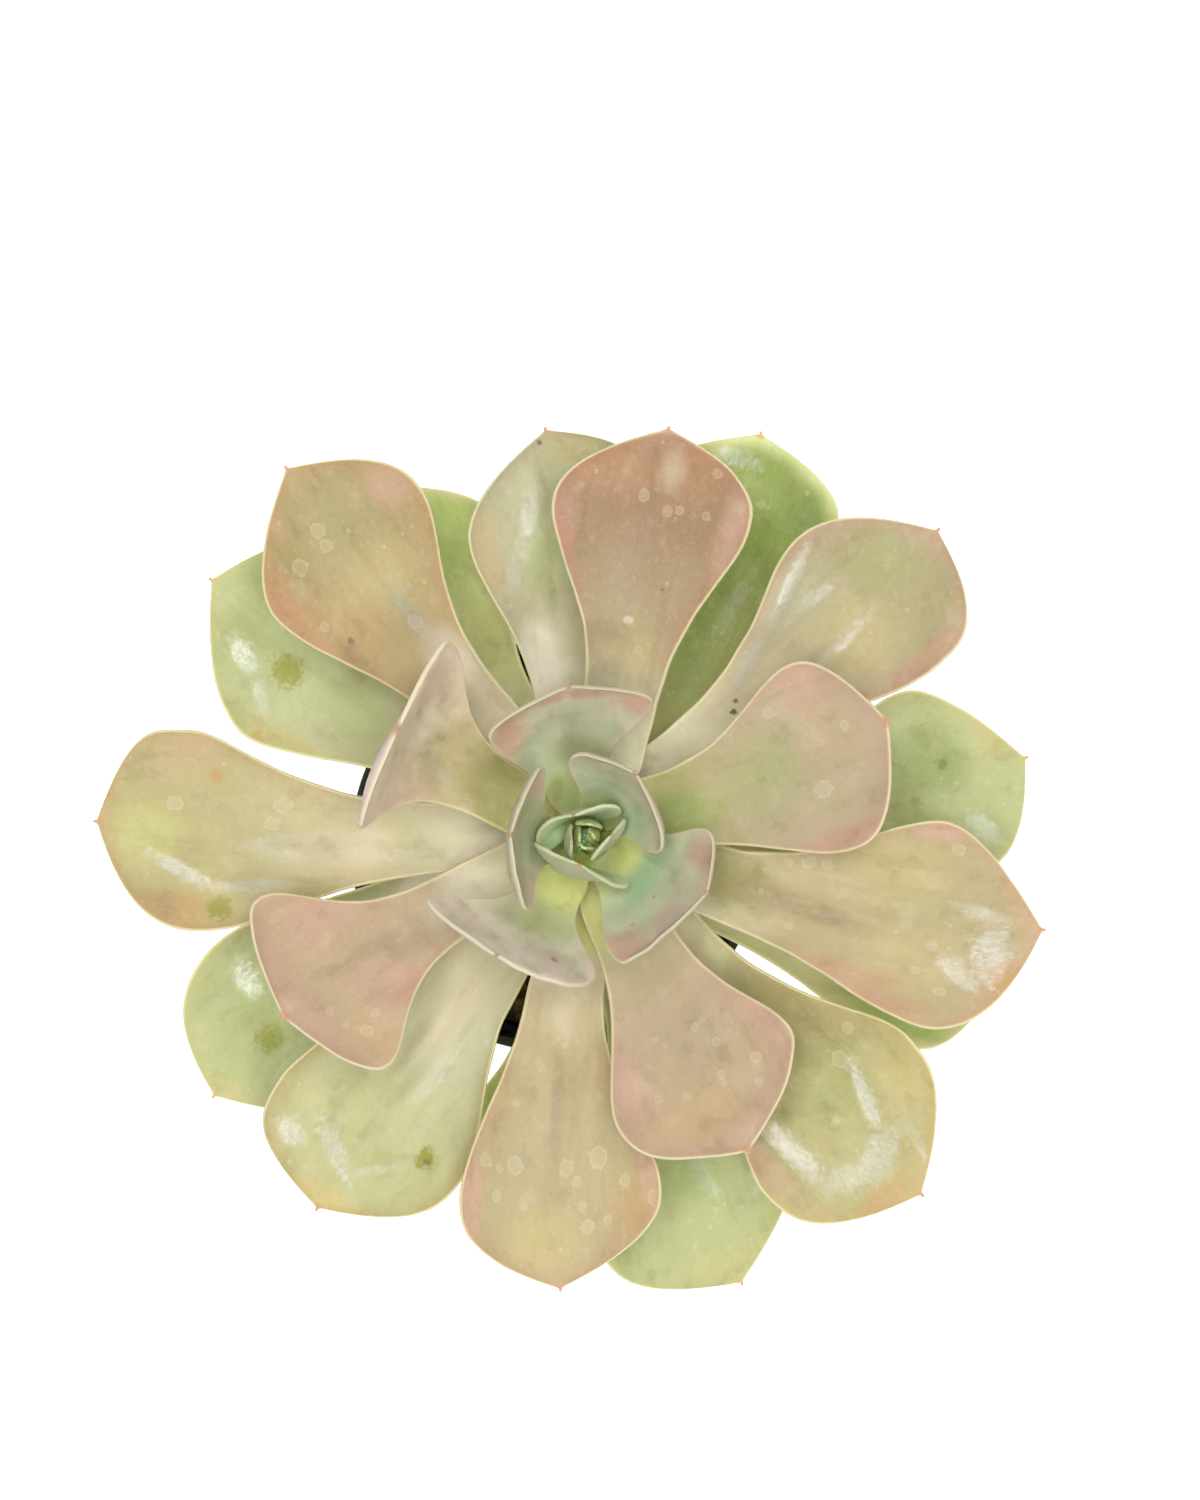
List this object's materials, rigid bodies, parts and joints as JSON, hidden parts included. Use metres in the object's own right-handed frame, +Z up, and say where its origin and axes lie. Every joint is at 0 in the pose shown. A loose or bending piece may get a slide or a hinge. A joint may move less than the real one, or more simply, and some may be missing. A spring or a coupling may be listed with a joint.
{
  "type": "potted lolita echeveria",
  "caption": "Potted echeveria succulent: a loose rosette of thick spoon-shaped leaves on a short stem, in a round black nursery pot of soil.",
  "frame": {"origin": "centre of the pot's foot, on the surface that it stands on", "axes": "+Z up along the pot's axis; +X to the right and +Y to the top of the plant as seen from above"},
  "size_m": [0.196, 0.1811, 0.1405],
  "materials": {
    "pot": "moulded black plastic with a soft gloss",
    "soil": "dark peat with crumbs, bark and pale grit",
    "stem": "dull green-brown bark with leaf scars",
    "heart_leaf": "waxy green with pale margins",
    "inner_leaf": "waxy blue-green, rosy towards the edge, cream margin",
    "upper_leaf": "waxy pink-brown with a cream margin",
    "middle_leaf": "smooth tan-olive with a soft gloss and dried drop marks",
    "lower_leaf": "smooth yellow-green with a soft gloss"
  },
  "bodies": {
    "root": {"pot": "pot", "soil": "soil", "stem": "stem", "bud": "heart_leaf", "leaf_01": "heart_leaf", "leaf_02": "heart_leaf", "leaf_03": "heart_leaf", "leaf_04": "heart_leaf", "leaf_05": "inner_leaf", "leaf_06": "inner_leaf", "leaf_07": "inner_leaf", "leaf_08": "inner_leaf", "leaf_09": "inner_leaf", "leaf_10": "upper_leaf", "leaf_11": "upper_leaf", "leaf_12": "upper_leaf", "leaf_13": "upper_leaf", "leaf_14": "upper_leaf", "leaf_15": "middle_leaf", "leaf_16": "middle_leaf", "leaf_17": "middle_leaf", "leaf_18": "middle_leaf", "leaf_19": "middle_leaf", "leaf_20": "middle_leaf", "leaf_21": "middle_leaf", "leaf_22": "middle_leaf", "leaf_23": "lower_leaf", "leaf_24": "lower_leaf", "leaf_25": "lower_leaf", "leaf_26": "lower_leaf", "leaf_27": "lower_leaf", "leaf_28": "lower_leaf", "leaf_29": "lower_leaf", "leaf_30": "lower_leaf"}
  },
  "joints": []
}
